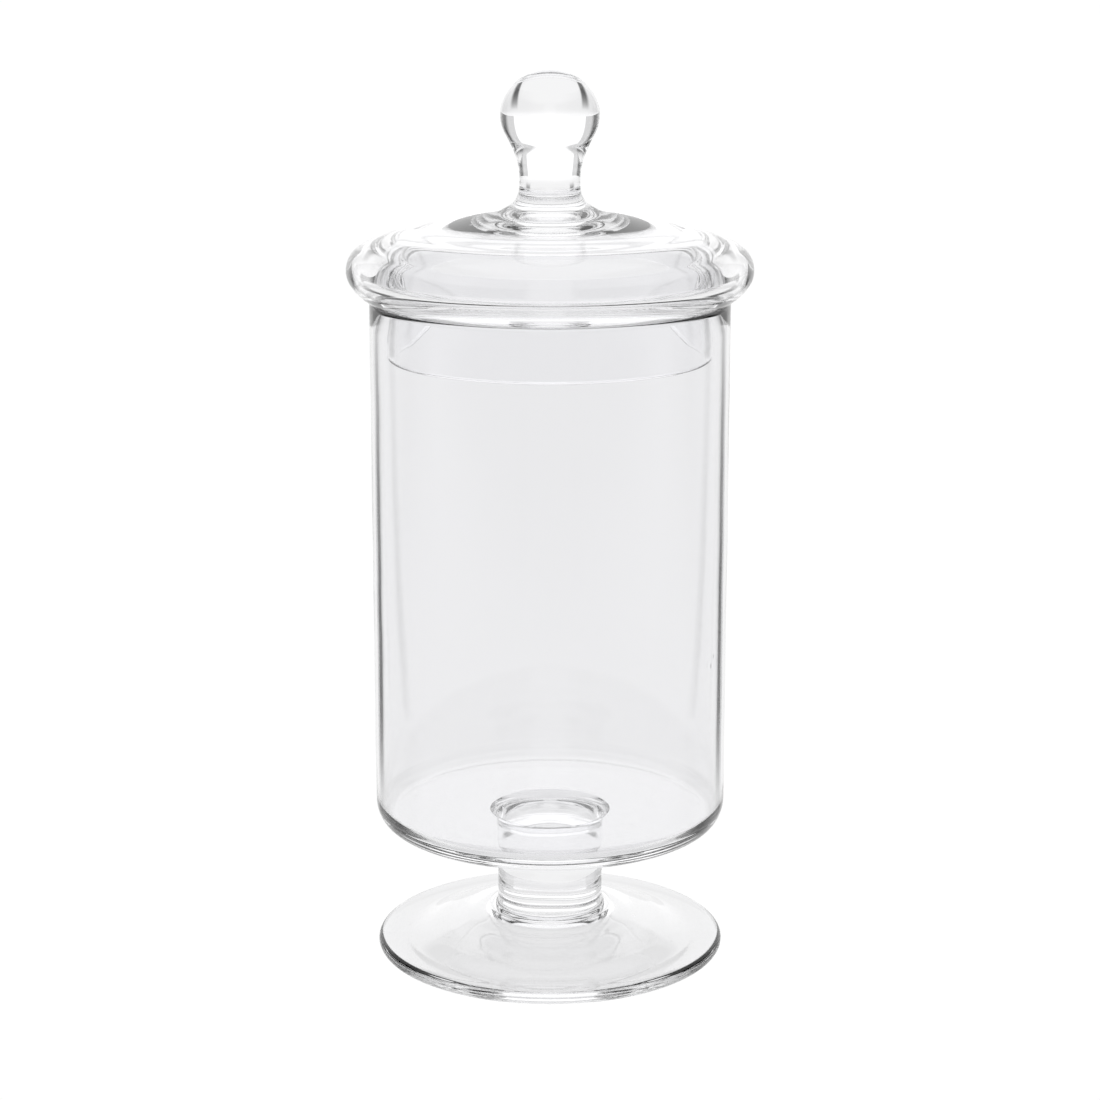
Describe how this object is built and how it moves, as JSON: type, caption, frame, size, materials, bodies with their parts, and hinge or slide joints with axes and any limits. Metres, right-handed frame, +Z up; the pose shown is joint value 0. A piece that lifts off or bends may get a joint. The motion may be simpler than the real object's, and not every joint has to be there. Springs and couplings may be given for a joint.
{
  "type": "specimen jar",
  "caption": "Clear glass footed jar with a straight round body on a short solid stem, closed by a loose domed lid with a ball knob, for showing or keeping specimens.",
  "frame": {"origin": "on the surface the jar stands on, under the middle of the foot", "axes": "+Z up the jar's axis, towards the knob; the jar is a body of revolution, so X and Y are alike"},
  "size_m": [0.1576, 0.1576, 0.3524],
  "materials": {
    "jar_glass": "clear fire-polished glass",
    "lid_glass": "clear fire-polished glass"
  },
  "bodies": {
    "jar": {"foot": "jar_glass", "stem": "jar_glass", "bowl": "jar_glass"},
    "lid": {"lid_dome": "lid_glass", "lid_collar": "lid_glass", "knob": "lid_glass"}
  },
  "joints": [
    {"name": "lid_lift", "type": "slide", "parent": "jar", "child": "lid", "axis": [0, 0, 1], "range_m": [0, 0.1]}
  ]
}
